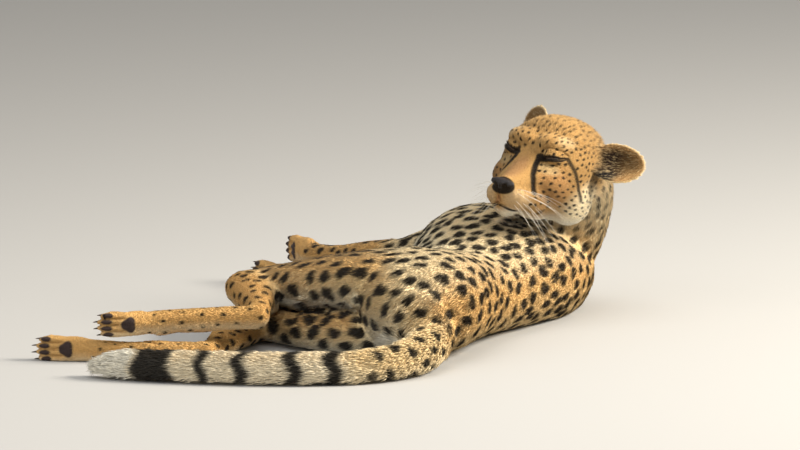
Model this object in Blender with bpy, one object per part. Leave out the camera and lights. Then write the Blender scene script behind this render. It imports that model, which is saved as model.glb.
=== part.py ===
"""A cheetah lying on its right side, life size, as a still museum model.

Metres, +Z up. The floor is Z = 0 and the origin is the middle of the model's footprint.
The animal faces +Y with its back towards +X, its legs stretched out towards -X and its tail
laid along -X in front; the neck bends back over the left shoulder, so the face turns to -Y.
The whole body is shaped first, from tubes and rounded muscles that are fused and smoothed.
It is then parted by cuts GAP wide into the pieces that a person would name.
"""

import math

import bmesh
import bpy
import numpy as np
from mathutils import Matrix, Vector

GAP = 0.0004  # between neighbouring pieces
VOXEL = 0.0034  # size of the steps in which the flesh is fused
SINK = 0.005  # how far soft flesh is pressed flat where it lies on the floor
SMOOTH_BODY = 22  # rounds of smoothing over the muscles
SMOOTH_FINE = 7  # rounds of smoothing over the face and the feet
FINE_TRIANGLES = 11200  # of the fused flesh, all over as fine as the head and the paws stay
TRIANGLES = 4350  # of the fused flesh with its plainer parts thinned, before it is parted
FULLNESS = 0.86  # 1 gives tubes an elliptical section, and less a squarer one
CAP_BULGE = 0.8  # height of a tube's rounded end against its smaller half-size
CAP_TURNS = (30, 55, 75)  # degrees round a tube's end at which its rings lie
HEAD_START = -0.085  # forward on the head's own axes, where the fine shape begins
HEAD_BLEND = 0.05  # length over which it grows full
HEAD_REACH = 0.16  # radius of the fine shape round the head's middle
PAW_REACH = 0.055  # and round the middle of each paw
WEIGHT_STEPS = 20
FLOOR_BLOCK = (3.0, 3.0, 0.1)  # the cutter that lays the flesh flat
SIDES = 28  # round a tube
STEPS = 6  # rings between two stations of a tube

# The head: where it is, how it is turned, and its own axes (forward, left, up).
HEAD_CENTRE = Vector((0.230, 0.570, 0.236))
HEAD_SIZE = 1.07  # of the head against the sizes along its own axes
HEAD_YAW = math.radians(32)  # away from -Y, towards -X
HEAD_PITCH = math.radians(15)  # nose raised
HEAD_ROLL = math.radians(8)  # left side lowered
EAR_HEIGHT = 0.092
EAR_WIDTH = 0.070
EAR_DEPTH = 0.020
EAR_WALL = 0.0052
EAR_RIM = 0.62  # width of the rim against the wall
EAR_STAND = 0.029  # from the ear's foot to the middle of its cup
EAR_TURNS = 24
EAR_HOOPS = 5
EYE_RADIUS = 0.0160
EYE_PLACE = (0.0435, 0.0330, 0.0325)
NOSE_PLACE = (0.1110, 0.0, -0.0250)
NOSE_SIZE = (0.0120, 0.0180, 0.0130)
# Each ear along the head's own axes: its foot, the way its tip points, the way it opens.
EARS = {
    "ear_left": ((-0.038, 0.062, 0.041), (-0.50, 0.86, 0.14), (0.75, 0.25, 0.30)),
    "ear_right": ((-0.033, -0.042, 0.046), (-0.45, -0.52, 0.72), (0.80, -0.50, 0.20)),
}

# Stations of each length: x, y, z of the middle, half-width across, half-height, and for the
# trunk the angle in degrees by which its left side leans towards the belly.
TRUNK = (
    (0.022, 0.120, 0.084, 0.052, 0.048, 0),
    (0.026, 0.165, 0.086, 0.088, 0.072, 0),
    (0.040, 0.245, 0.086, 0.102, 0.082, 0),
    (0.064, 0.335, 0.080, 0.101, 0.077, 0),
    (0.094, 0.425, 0.073, 0.103, 0.071, 3),
    (0.122, 0.505, 0.079, 0.119, 0.080, 9),
    (0.150, 0.585, 0.086, 0.133, 0.088, 15),
    (0.180, 0.665, 0.084, 0.133, 0.084, 21),
    (0.207, 0.740, 0.077, 0.115, 0.077, 20),
    (0.215, 0.805, 0.078, 0.076, 0.062, 12),
)
NECK = (
    (0.215, 0.725, 0.090, 0.082, 0.080),
    (0.252, 0.722, 0.125, 0.074, 0.074),
    (0.272, 0.698, 0.170, 0.066, 0.068),
    (0.278, 0.655, 0.212, 0.062, 0.064),
    (0.268, 0.610, 0.236, 0.056, 0.058),
)
NECK_UPRIGHT = Vector((0.9, 0.4, 0.1))  # the way the top of the neck's sections faces
TAIL = (
    (0.048, 0.150, 0.062, 0.044, 0.040),
    (0.042, 0.085, 0.044, 0.036, 0.036),
    (0.012, 0.018, 0.034, 0.031, 0.031),
    (-0.055, -0.036, 0.0285, 0.029, 0.029),
    (-0.150, -0.052, 0.028, 0.0285, 0.0285),
    (-0.250, -0.045, 0.028, 0.028, 0.028),
    (-0.350, -0.024, 0.0275, 0.0275, 0.0275),
    (-0.425, -0.002, 0.026, 0.026, 0.026),
    (-0.462, 0.012, 0.022, 0.018, 0.019),
)
THIGH_LEFT = (
    (0.030, 0.245, 0.118, 0.080, 0.047),
    (-0.030, 0.285, 0.115, 0.104, 0.049),
    (-0.100, 0.338, 0.106, 0.090, 0.043),
    (-0.170, 0.396, 0.094, 0.064, 0.033),
    (-0.222, 0.438, 0.084, 0.040, 0.028),
)
SHANK_LEFT = (
    (-0.234, 0.442, 0.083, 0.034, 0.025),
    (-0.234, 0.385, 0.086, 0.045, 0.028),
    (-0.228, 0.305, 0.080, 0.033, 0.025),
    (-0.222, 0.240, 0.078, 0.021, 0.021),
    (-0.220, 0.196, 0.073, 0.019, 0.020),
)
FOOT_LEFT = (
    (-0.218, 0.187, 0.071, 0.019, 0.019),
    (-0.262, 0.187, 0.070, 0.022, 0.019),
    (-0.330, 0.176, 0.069, 0.019, 0.018),
    (-0.386, 0.168, 0.066, 0.019, 0.019),
)
THIGH_RIGHT = (
    (0.030, 0.235, 0.038, 0.080, 0.036),
    (-0.030, 0.270, 0.034, 0.102, 0.038),
    (-0.105, 0.322, 0.031, 0.090, 0.036),
    (-0.175, 0.372, 0.025, 0.062, 0.029),
    (-0.232, 0.405, 0.018, 0.038, 0.021),
)
SHANK_RIGHT = (
    (-0.246, 0.410, 0.019, 0.032, 0.021),
    (-0.254, 0.350, 0.020, 0.042, 0.022),
    (-0.272, 0.275, 0.020, 0.031, 0.021),
    (-0.290, 0.205, 0.019, 0.020, 0.019),
    (-0.300, 0.160, 0.019, 0.018, 0.019),
)
FOOT_RIGHT = (
    (-0.300, 0.150, 0.019, 0.018, 0.018),
    (-0.345, 0.152, 0.019, 0.021, 0.018),
    (-0.420, 0.162, 0.019, 0.018, 0.018),
    (-0.478, 0.170, 0.020, 0.019, 0.019),
)
ARM_LEFT = (
    (0.150, 0.770, 0.108, 0.060, 0.042),
    (0.090, 0.735, 0.103, 0.056, 0.040),
    (0.034, 0.704, 0.094, 0.042, 0.034),
    (0.006, 0.694, 0.090, 0.030, 0.030),
)
FOREARM_LEFT = (
    (0.002, 0.698, 0.090, 0.030, 0.029),
    (-0.045, 0.745, 0.083, 0.033, 0.026),
    (-0.092, 0.800, 0.073, 0.024, 0.021),
    (-0.130, 0.852, 0.069, 0.020, 0.018),
    (-0.148, 0.888, 0.067, 0.021, 0.018),
)
ARM_RIGHT = (
    (0.140, 0.760, 0.036, 0.056, 0.036),
    (0.075, 0.740, 0.034, 0.058, 0.036),
    (0.012, 0.722, 0.025, 0.040, 0.026),
    (-0.012, 0.718, 0.023, 0.030, 0.024),
)
FOREARM_RIGHT = (
    (-0.010, 0.722, 0.022, 0.030, 0.023),
    (-0.058, 0.772, 0.020, 0.033, 0.021),
    (-0.116, 0.826, 0.018, 0.024, 0.018),
    (-0.168, 0.874, 0.018, 0.020, 0.017),
    (-0.190, 0.900, 0.018, 0.021, 0.018),
)
# Each paw: where the foot meets it, its tip, and half of its thickness and of its width.
PAWS = {
    "hind_left": ((-0.378, 0.166, 0.067), (-0.470, 0.152, 0.064), 0.017, 0.021),
    "hind_right": ((-0.470, 0.169, 0.021), (-0.566, 0.180, 0.023), 0.017, 0.023),
    "fore_left": ((-0.138, 0.868, 0.071), (-0.182, 0.962, 0.064), 0.018, 0.023),
    "fore_right": ((-0.170, 0.886, 0.021), (-0.240, 0.966, 0.023), 0.018, 0.023),
}
# Within a paw, as shares of its length, thickness and width: the pad, the toes one over
# another, and their knuckles.
PAD_PLACE, PAD_SIZES = 0.38, (0.46, 1.0, 1.0)
TOE_LEVELS = (-1.0, -1 / 3, 1 / 3, 1.0)
TOE_PLACE, TOE_ARCH, TOE_SPREAD, TOE_SIZES = 0.74, 0.05, 0.66, (0.25, 0.72, 0.34)
KNUCKLE_PLACE, KNUCKLE_SPREAD, KNUCKLE_RISE = 0.56, 0.62, 0.3
KNUCKLE_SIZES = (0.22, 0.6, 0.34)
# The head's stations lie along its own forward axis: x, 0, z, half-width, half-height.
SKULL = (
    (-0.088, 0.0, 0.024, 0.038, 0.042),
    (-0.072, 0.0, 0.027, 0.054, 0.060),
    (-0.044, 0.0, 0.022, 0.063, 0.073),
    (-0.012, 0.0, 0.017, 0.065, 0.079),
    (0.018, 0.0, 0.011, 0.063, 0.076),
    (0.040, 0.0, 0.000, 0.053, 0.062),
    (0.058, 0.0, -0.014, 0.040, 0.048),
    (0.076, 0.0, -0.026, 0.032, 0.037),
    (0.092, 0.0, -0.034, 0.027, 0.029),
    (0.101, 0.0, -0.037, 0.019, 0.022),
)
BRIDGE = (
    (0.030, 0.0, 0.040, 0.0220, 0.0200),
    (0.060, 0.0, 0.012, 0.0165, 0.0170),
    (0.085, 0.0, -0.010, 0.0150, 0.0145),
    (0.102, 0.0, -0.021, 0.0135, 0.0110),
)
# Rounded masses on the head, left side: centre and half-sizes along its own axes.
FACE = (
    ((-0.018, 0.040, -0.022), (0.048, 0.030, 0.040)),  # jaw muscle and ruff
    ((0.022, 0.035, -0.010), (0.044, 0.026, 0.032)),  # cheek
    ((0.024, 0.022, 0.049), (0.035, 0.031, 0.019)),  # brow
    ((0.0360, 0.0300, 0.0310), (0.0195, 0.0190, 0.0180)),  # rim of the eye socket
    ((0.082, 0.0165, -0.040), (0.029, 0.0190, 0.0190)),  # whisker pad
    ((0.056, 0.025, -0.038), (0.034, 0.020, 0.022)),  # corner of the mouth
    ((0.036, 0.016, -0.052), (0.046, 0.018, 0.014)),  # lower jaw
)
CHIN = ((0.084, 0.0, -0.057), (0.020, 0.018, 0.011))
# Rounded masses on the body: centre and half-sizes along X, Y and Z.
MUSCLES = (
    ((0.020, 0.275, 0.120), (0.072, 0.095, 0.049)),  # left hip
    ((0.190, 0.680, 0.102), (0.078, 0.085, 0.046)),  # left shoulder blade
    ((0.256, 0.690, 0.066), (0.052, 0.085, 0.060)),  # withers
    ((-0.010, 0.165, 0.090), (0.045, 0.055, 0.055)),  # buttock
)

# Cuts, in order: the piece that is cut, the name of what comes off, a point of the cut, the
# direction towards what comes off, and how far the cut reaches across and up and down.
CUTS = (
    ("body", "neck_lower", (0.270, 0.700, 0.140), (0.45, -0.07, 0.89), 0.160, 0.160),
    ("neck_lower", "neck_upper", (0.278, 0.682, 0.186), (0.10, -0.58, 0.80), 0.140, 0.120),
    ("neck_upper", "head", (0.268, 0.622, 0.234), (-0.42, -0.85, 0.30), 0.120, 0.120),
    ("body", "tail_root", (0.034, 0.100, 0.060), (-0.15, -1.0, -0.12), 0.100, 0.090),
    ("tail_root", "tail_upper", (-0.055, -0.036, 0.028), (-0.93, -0.36, 0.0), 0.060, 0.060),
    ("tail_upper", "tail_lower", (-0.205, -0.050, 0.028), (-1.0, 0.03, 0.0), 0.060, 0.060),
    ("tail_lower", "tail_tip", (-0.345, -0.025, 0.028), (-0.97, 0.23, 0.0), 0.060, 0.060),
    ("body", "thighs", (-0.018, 0.250, 0.090), (-1.0, -0.07, 0.0), 0.205, 0.120),
    ("thighs", "thigh_left", (-0.099, 0.300, 0.0675), (-0.102, 0.095, 1.0), 0.112, 0.200),
    ("thigh_left", "shank_left", (-0.217, 0.376, 0.085), (-0.954, -0.298, 0.0), 0.110, 0.070),
    ("shank_left", "foot_left", (-0.234, 0.203, 0.074), (-0.62, -0.78, 0.0), 0.045, 0.045),
    ("foot_left", "paw_hind_left", (-0.380, 0.169, 0.067), (-1.0, -0.13, 0.0), 0.045, 0.045),
    ("thighs", "shank_right", (-0.226, 0.370, 0.030), (-0.952, -0.305, 0.0), 0.095, 0.060),
    ("shank_right", "foot_right", (-0.312, 0.166, 0.020), (-0.66, -0.75, 0.0), 0.040, 0.045),
    ("foot_right", "paw_hind_right", (-0.472, 0.169, 0.020), (-1.0, 0.13, 0.0), 0.045, 0.045),
    ("body", "forearm_left", (-0.012, 0.715, 0.092), (-0.82, 0.57, 0.0), 0.050, 0.037),
    ("forearm_left", "paw_fore_left", (-0.140, 0.870, 0.073), (-0.45, 0.89, 0.0), 0.045, 0.045),
    ("body", "forearm_right", (-0.012, 0.725, 0.023), (-0.90, 0.43, 0.0), 0.050, 0.029),
    ("forearm_right", "paw_fore_right", (-0.172, 0.885, 0.020), (-0.65, 0.76, 0.0), 0.045, 0.045),
    ("body", "pelvis", (0.070, 0.380, 0.080), (0.30, -0.95, 0.0), 0.200, 0.150),
    ("body", "loin", (0.108, 0.510, 0.085), (0.32, -0.95, 0.0), 0.220, 0.150),
)
NAMES = {"body": "chest", "thighs": "thigh_right"}

TAN = (0.47, 0.26, 0.10)
PALE = (0.72, 0.58, 0.38)
BLACK = (0.012, 0.009, 0.008)
LOOKS = {
    "coat_tan": (TAN, 0.85),
    "coat_pale": (PALE, 0.85),
    "nose_leather": (BLACK, 0.45),
    "eye_amber": ((0.20, 0.09, 0.02), 0.12),
}


def clear_scene():
    """Empties the scene, the startup objects included."""
    for item in list(bpy.data.objects):
        bpy.data.objects.remove(item, do_unlink=True)


def look(name):
    """The material of this name, made on first use."""
    if name in bpy.data.materials:
        return bpy.data.materials[name]
    colour, roughness = LOOKS[name]
    material = bpy.data.materials.new(name)
    material.use_nodes = True
    shader = material.node_tree.nodes["Principled BSDF"]
    shader.inputs["Base Color"].default_value = (*colour, 1.0)
    shader.inputs["Roughness"].default_value = roughness
    shader.inputs["Metallic"].default_value = 0.0
    return material


def head_axes():
    """The head's forward, left and up directions."""
    flat = math.cos(HEAD_PITCH)
    forward = Vector((-math.sin(HEAD_YAW) * flat, -math.cos(HEAD_YAW) * flat, math.sin(HEAD_PITCH)))
    left = Vector((0, 0, 1)).cross(forward).normalized()
    left = Matrix.Rotation(-HEAD_ROLL, 3, forward) @ left
    return forward, left, forward.cross(left)


FORWARD, LEFT, UP = head_axes()
HEAD_TURN = Matrix((FORWARD, LEFT, UP)).transposed()


def on_head(point):
    """A point given along the head's own axes, in the world."""
    return HEAD_CENTRE + HEAD_TURN @ (Vector(point) * HEAD_SIZE)


def smooth_row(rows, place):
    """The row at this place (0 to the last row) on a Catmull-Rom curve through the rows."""
    first = min(int(place), len(rows) - 2)
    t = place - first
    before, a, b, after = (rows[min(max(first + k, 0), len(rows) - 1)] for k in (-1, 0, 1, 2))
    return 0.5 * (
        2 * a
        + (b - before) * t
        + (2 * before - 5 * a + 4 * b - after) * t**2
        + (3 * a - before - 3 * b + after) * t**3
    )


def tube_rings(stations, upright, faces_way=None):
    """Rings of a rounded tube through the stations, with both its ends closed round.

    Each ring faces along the tube, or faces_way where that is given.
    """
    rows = np.array(stations, float)
    places = np.linspace(0, len(rows) - 1, (len(rows) - 1) * STEPS + 1)
    curve = [smooth_row(rows, place) for place in places]
    rings = []
    for k, row in enumerate(curve):
        ahead = curve[min(k + 1, len(curve) - 1)][:3] - curve[max(k - 1, 0)][:3]
        ahead = faces_way or Vector(ahead).normalized()
        across = ahead.cross(upright).normalized()
        if len(row) > 5:
            across = Matrix.Rotation(math.radians(row[5]), 3, ahead) @ across
        rings.append((Vector(row[:3]), ahead, across, across.cross(ahead), row[3], row[4]))
    for end, sign in ((0, -1), (-1, 1)):
        middle, ahead, across, over, wide, high = rings[end]
        bulge = CAP_BULGE * min(wide, high)
        caps = []
        for angle in CAP_TURNS:
            turn = math.radians(angle)
            moved = middle + ahead * (sign * bulge * math.sin(turn))
            size = math.cos(turn)
            caps.append((moved, ahead, across, over, wide * size, high * size))
        rings = caps[::-1] + rings if end == 0 else rings + caps
    return rings


def boxy(share):
    """A share of a half-width, pushed out a little, so that a tube is fuller than an ellipse."""
    return math.copysign(abs(share) ** FULLNESS, share)


def add_tube(mesh, stations, upright=Vector((0, 0, 1)), place=None):
    """Adds a closed tube to the bmesh.

    A tube with a place is given along the head's own axes, and its rings face forward.
    """
    rings = []
    faces_way = Vector((1, 0, 0)) if place else None
    for middle, _, across, over, wide, high in tube_rings(stations, upright, faces_way):
        ring = []
        for k in range(SIDES):
            turn = math.tau * k / SIDES
            flat, tall = boxy(math.cos(turn)), boxy(math.sin(turn))
            point = middle + across * (wide * flat) + over * (high * tall)
            ring.append(mesh.verts.new(place(point) if place else point))
        rings.append(ring)
    for one, two in zip(rings, rings[1:]):
        for k in range(SIDES):
            after = (k + 1) % SIDES
            mesh.faces.new((one[k], one[after], two[after], two[k]))
    mesh.faces.new(rings[0][::-1])
    mesh.faces.new(rings[-1])


def add_mass(mesh, centre, sizes, turn=None):
    """Adds an egg-shaped mass with these half-sizes to the bmesh."""
    matrix = Matrix.Translation(centre)
    if turn is not None:
        matrix = matrix @ turn.to_4x4()
    matrix = matrix @ Matrix.Diagonal((*sizes, 1.0))
    bmesh.ops.create_icosphere(mesh, subdivisions=3, radius=1.0, matrix=matrix)


def add_head_mass(mesh, centre, sizes):
    """Adds an egg-shaped mass given along the head's own axes."""
    add_mass(mesh, on_head(centre), [HEAD_SIZE * size for size in sizes], HEAD_TURN)


def add_paw(mesh, ankle, tip, thick, wide):
    """Adds a paw lying on its side: a pad and four toes stacked one over another."""
    ankle, tip = Vector(ankle), Vector(tip)
    ahead = (tip - ankle).normalized()
    over = Vector((0, 0, 1))
    across = over.cross(ahead).normalized()
    over = ahead.cross(across)
    turn = Matrix((ahead, across, over)).transposed()
    scale = np.array(((tip - ankle).length, thick, wide))
    add_mass(mesh, ankle.lerp(tip, PAD_PLACE), scale * PAD_SIZES, turn)
    for level in TOE_LEVELS:
        reach = TOE_PLACE + TOE_ARCH * (1 - abs(level))
        middle = ankle.lerp(tip, reach) + over * (level * wide * TOE_SPREAD)
        add_mass(mesh, middle, scale * TOE_SIZES, turn)
        knuckle = ankle.lerp(tip, KNUCKLE_PLACE) + over * (level * wide * KNUCKLE_SPREAD)
        add_mass(mesh, knuckle + across * (thick * KNUCKLE_RISE), scale * KNUCKLE_SIZES, turn)


def new_object(name, mesh_data):
    """An object of this name in the scene."""
    item = bpy.data.objects.new(name, mesh_data)
    bpy.context.scene.collection.objects.link(item)
    return item


def object_from(name, mesh):
    """An object from a bmesh, which is freed."""
    bmesh.ops.recalc_face_normals(mesh, faces=mesh.faces)
    data = bpy.data.meshes.new(name)
    mesh.to_mesh(data)
    mesh.free()
    return new_object(name, data)


def settle(item):
    """Replaces an object's mesh with what its modifiers make of it."""
    graph = bpy.context.evaluated_depsgraph_get()
    data = bpy.data.meshes.new_from_object(item.evaluated_get(graph))
    item.modifiers.clear()
    item.data = data


def points_of(item):
    """The object's vertices as an array."""
    points = np.empty(len(item.data.vertices) * 3)
    item.data.vertices.foreach_get("co", points)
    return points.reshape(-1, 3)


def weigh(item, name, weights):
    """Gives the object a vertex group with these weights."""
    group = item.vertex_groups.new(name=name)
    for step in range(WEIGHT_STEPS + 1):
        near = np.nonzero(np.round(weights * WEIGHT_STEPS) == step)[0]
        if len(near):
            group.add(near.tolist(), step / WEIGHT_STEPS, "REPLACE")


def headness(points):
    """1 on the head, falling to 0 down the neck."""
    local = (points - np.array(HEAD_CENTRE)) @ np.array(HEAD_TURN)
    share = np.clip((local[:, 0] - HEAD_START) / HEAD_BLEND, 0, 1)
    return share * (np.linalg.norm(local, axis=1) < HEAD_REACH)


def footness(points):
    """1 on the paws, where the toes are, and 0 elsewhere."""
    found = np.zeros(len(points))
    for ends in PAWS.values():
        middle = (np.array(ends[0]) + np.array(ends[1])) / 2
        found = np.maximum(found, np.linalg.norm(points - middle, axis=1) < PAW_REACH)
    return found


def fused_flesh():
    """The whole body but its ears, fused, smoothed and laid flat on the floor."""
    mesh = bmesh.new()
    lengths = (TRUNK, TAIL, THIGH_LEFT, SHANK_LEFT, FOOT_LEFT, THIGH_RIGHT, SHANK_RIGHT)
    lengths += (FOOT_RIGHT, ARM_LEFT, FOREARM_LEFT, ARM_RIGHT, FOREARM_RIGHT)
    for stations in lengths:
        add_tube(mesh, stations)
    add_tube(mesh, NECK, upright=NECK_UPRIGHT)
    for centre, sizes in MUSCLES:
        add_mass(mesh, centre, sizes)
    for ankle, tip, thick, wide in PAWS.values():
        add_paw(mesh, ankle, tip, thick, wide)
    add_tube(mesh, SKULL, place=on_head)
    for side in (1, -1):
        for (x, y, z), sizes in FACE:
            add_head_mass(mesh, (x, side * y, z), sizes)
    add_tube(mesh, BRIDGE, place=on_head)
    add_head_mass(mesh, *CHIN)
    flesh = object_from("body", mesh)

    remesh = flesh.modifiers.new("fuse", "REMESH")
    remesh.mode = "VOXEL"
    remesh.voxel_size = VOXEL
    settle(flesh)

    points = points_of(flesh)
    fine = np.maximum(headness(points), footness(points))
    weigh(flesh, "muscles", 1 - fine)
    weigh(flesh, "head", headness(points))
    for name, rounds, group in (("soften", SMOOTH_BODY, "muscles"), ("polish", SMOOTH_FINE, "")):
        smooth = flesh.modifiers.new(name, "SMOOTH")
        smooth.factor = 0.5
        smooth.iterations = rounds
        smooth.vertex_group = group
    thin = flesh.modifiers.new("thin", "DECIMATE")
    thin.ratio = FINE_TRIANGLES / (2.0 * len(flesh.data.polygons))
    settle(flesh)
    thin = flesh.modifiers.new("thin", "DECIMATE")
    thin.ratio = TRIANGLES / FINE_TRIANGLES
    thin.vertex_group = "head"
    thin.invert_vertex_group = True
    thin.vertex_group_factor = 1.0
    settle(flesh)
    flesh.vertex_groups.clear()
    flatten(flesh)
    return flesh


def cut_box(name, centre, turn, sizes):
    """A box used as a cutter, hidden from view."""
    mesh = bmesh.new()
    matrix = Matrix.Translation(centre) @ turn.to_4x4() @ Matrix.Diagonal((*sizes, 1.0))
    bmesh.ops.create_cube(mesh, size=1.0, matrix=matrix)
    box = object_from(name, mesh)
    box.hide_render = True
    box.display_type = "WIRE"
    return box


def carve(item, cutter):
    """Takes the cutter's shape away from the object, and removes the cutter."""
    boolean = item.modifiers.new("cut", "BOOLEAN")
    boolean.operation = "DIFFERENCE"
    boolean.object = cutter
    boolean.solver = "EXACT"
    settle(item)
    bpy.data.objects.remove(cutter, do_unlink=True)


def flatten(flesh):
    """Cuts the flesh flat where its own weight presses it on the floor."""
    centre = (0, 0, SINK - FLOOR_BLOCK[2] / 2)
    carve(flesh, cut_box("floor", centre, Matrix.Identity(3), FLOOR_BLOCK))


def loose_parts(item):
    """Splits an object into one object for each of its separate bodies."""
    mesh = bmesh.new()
    mesh.from_mesh(item.data)
    left = set(mesh.verts)
    groups = []
    while left:
        group, front = set(), [left.pop()]
        while front:
            vertex = front.pop()
            group.add(vertex.index)
            for edge in vertex.link_edges:
                other = edge.other_vert(vertex)
                if other in left:
                    left.remove(other)
                    front.append(other)
        groups.append(group)
    parts = []
    for group in groups:
        copy = mesh.copy()
        copy.verts.ensure_lookup_table()
        unwanted = [v for v in copy.verts if v.index not in group]
        bmesh.ops.delete(copy, geom=unwanted, context="VERTS")
        parts.append(object_from(item.name, copy))
    mesh.free()
    bpy.data.objects.remove(item, do_unlink=True)
    return parts


def part_off(pieces, source, name, point, direction, across, high):
    """Cuts one piece in two with a thin slab, and names what lies beyond the cut."""
    ahead = Vector(direction).normalized()
    helper = Vector((0, 0, 1)) if abs(ahead.z) < 0.9 else Vector((0, 1, 0))
    side = helper.cross(ahead).normalized()
    turn = Matrix((ahead, side, ahead.cross(side))).transposed()
    slab = cut_box("slab", point, turn, (GAP, 2 * across, 2 * high))
    carve(pieces[source], slab)
    parts = loose_parts(pieces[source])
    beyond = [p for p in parts if (middle_of(p) - Vector(point)).dot(ahead) > 0]
    behind = [p for p in parts if p not in beyond]
    if len(beyond) != 1 or len(behind) != 1:
        raise ValueError(f"{source} and {name}: {len(behind)} and {len(beyond)} bodies")
    pieces[source], pieces[name] = behind[0], beyond[0]


def middle_of(item):
    """The middle of the object's vertices."""
    return Vector(points_of(item).mean(axis=0))


def ear_shell(mesh, foot, axes, half_width, half_height, depth):
    """The rings of one wall of an ear, from its rim to the middle of the cup."""
    rise, out, side = axes
    shell = []
    for hoop in range(EAR_HOOPS, -1, -1):
        share = hoop / EAR_HOOPS
        ring = []
        for k in range(EAR_TURNS if hoop else 1):
            angle = math.tau * k / EAR_TURNS
            flat = side * (half_width * share * math.cos(angle))
            tall = rise * (EAR_STAND + half_height * share * math.sin(angle))
            back = out * (depth * (share**2 - 1.0) + EAR_DEPTH / 2)
            ring.append(mesh.verts.new(foot + flat + tall + back))
        shell.append(ring)
    return shell


def add_ear(name, base, tip_way, open_way):
    """A rounded cup that stands on the head: tip_way is up along it, open_way out of it."""
    rise = (HEAD_TURN @ Vector(tip_way)).normalized()
    out = HEAD_TURN @ Vector(open_way)
    out = (out - rise * out.dot(rise)).normalized()
    axes = (rise, out, rise.cross(out))
    foot = on_head(base)
    mesh = bmesh.new()
    rim = EAR_WALL * EAR_RIM
    outside = ear_shell(mesh, foot, axes, EAR_WIDTH / 2, EAR_HEIGHT / 2, EAR_DEPTH)
    inside = ear_shell(
        mesh, foot, axes, EAR_WIDTH / 2 - rim, EAR_HEIGHT / 2 - rim, EAR_DEPTH - EAR_WALL
    )
    for shell in (outside, inside):
        for one, two in zip(shell, shell[1:]):
            for k in range(EAR_TURNS):
                after = (k + 1) % EAR_TURNS
                corners = (one[k], one[after], two[after % len(two)], two[k % len(two)])
                mesh.faces.new(dict.fromkeys(corners))
    for k in range(EAR_TURNS):
        after = (k + 1) % EAR_TURNS
        mesh.faces.new((outside[0][k], outside[0][after], inside[0][after], inside[0][k]))
    return object_from(name, mesh)


def grown_copy(item, margin):
    """A copy of the object whose skin lies this far outside it, as a cutter."""
    copy = new_object("cutter", item.data.copy())
    copy.hide_render = True
    copy.display_type = "WIRE"
    points = points_of(copy)
    normals = np.array([v.normal[:] for v in copy.data.vertices])
    copy.data.vertices.foreach_set("co", (points + normals * margin).ravel())
    copy.data.update()
    return copy


def add_ball(name, place, sizes):
    """An egg-shaped piece of its own, given along the head's own axes."""
    mesh = bmesh.new()
    matrix = Matrix.Translation(on_head(place)) @ HEAD_TURN.to_4x4()
    matrix = matrix @ Matrix.Diagonal((*sizes, 1.0))
    bmesh.ops.create_icosphere(mesh, subdivisions=2, radius=1.0, matrix=matrix)
    return object_from(name, mesh)


def finish_of(name):
    """Which look a piece has."""
    if name == "nose":
        return "nose_leather"
    if name.startswith("eye"):
        return "eye_amber"
    if name.startswith("paw"):
        return "coat_pale"
    return "coat_tan"


def build():
    """Makes every piece and centres the model over the origin."""
    clear_scene()
    pieces = {"body": fused_flesh()}
    for cut in CUTS:
        part_off(pieces, *cut)
    for old, new in NAMES.items():
        pieces[new] = pieces.pop(old)

    small = {name: add_ear(name, *ear) for name, ear in EARS.items()}
    small["nose"] = add_ball("nose", NOSE_PLACE, NOSE_SIZE)
    x, y, z = EYE_PLACE
    small["eye_left"] = add_ball("eye_left", (x, y, z), [EYE_RADIUS] * 3)
    small["eye_right"] = add_ball("eye_right", (x, -y, z), [EYE_RADIUS] * 3)
    for name, item in small.items():
        carve(pieces["head"], grown_copy(item, GAP))
        pieces[name] = item

    corners = np.concatenate([points_of(item) for item in pieces.values()])
    low, high = corners.min(axis=0), corners.max(axis=0)
    shift = Matrix.Translation((-(low[0] + high[0]) / 2, -(low[1] + high[1]) / 2, -low[2]))
    for name, item in pieces.items():
        item.name = name
        item.data.name = name
        item.data.transform(shift)
        item.data.shade_smooth()
        item.data.materials.clear()
        item.data.materials.append(look(finish_of(name)))


build()
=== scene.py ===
"""A cheetah lying on its right side with its head turned back over its shoulder, as a still model.

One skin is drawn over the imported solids, the face is worked into it, and solid tufts of coat are
laid on it. Lengths are in metres. The head's own axes are F to the nose, L to its left and U to
the crown.
"""

import math

import bmesh
import bpy
import numpy as np
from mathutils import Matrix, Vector
from mathutils.bvhtree import BVHTree
from mathutils.kdtree import KDTree


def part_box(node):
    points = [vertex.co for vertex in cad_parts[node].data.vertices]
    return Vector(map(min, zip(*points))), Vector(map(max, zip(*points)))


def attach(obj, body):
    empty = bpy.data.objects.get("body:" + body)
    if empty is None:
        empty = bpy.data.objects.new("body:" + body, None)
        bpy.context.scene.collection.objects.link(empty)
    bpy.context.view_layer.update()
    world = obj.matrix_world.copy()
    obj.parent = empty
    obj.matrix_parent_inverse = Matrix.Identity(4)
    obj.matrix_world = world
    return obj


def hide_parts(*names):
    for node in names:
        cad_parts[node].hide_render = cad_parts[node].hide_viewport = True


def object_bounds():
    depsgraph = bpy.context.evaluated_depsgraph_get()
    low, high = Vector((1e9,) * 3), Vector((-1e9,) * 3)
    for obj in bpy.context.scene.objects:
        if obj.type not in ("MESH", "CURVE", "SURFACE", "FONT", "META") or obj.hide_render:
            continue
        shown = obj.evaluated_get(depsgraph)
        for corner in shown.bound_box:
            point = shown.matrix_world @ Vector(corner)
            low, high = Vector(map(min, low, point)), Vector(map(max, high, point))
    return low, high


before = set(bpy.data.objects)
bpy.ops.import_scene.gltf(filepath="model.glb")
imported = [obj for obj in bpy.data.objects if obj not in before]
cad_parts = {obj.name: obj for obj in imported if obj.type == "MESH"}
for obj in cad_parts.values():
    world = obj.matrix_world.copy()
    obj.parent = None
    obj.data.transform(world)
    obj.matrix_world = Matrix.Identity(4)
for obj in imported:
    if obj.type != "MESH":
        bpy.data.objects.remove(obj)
CAD_BOX = [list(corner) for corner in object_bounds()]
scene = bpy.context.scene
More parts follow.
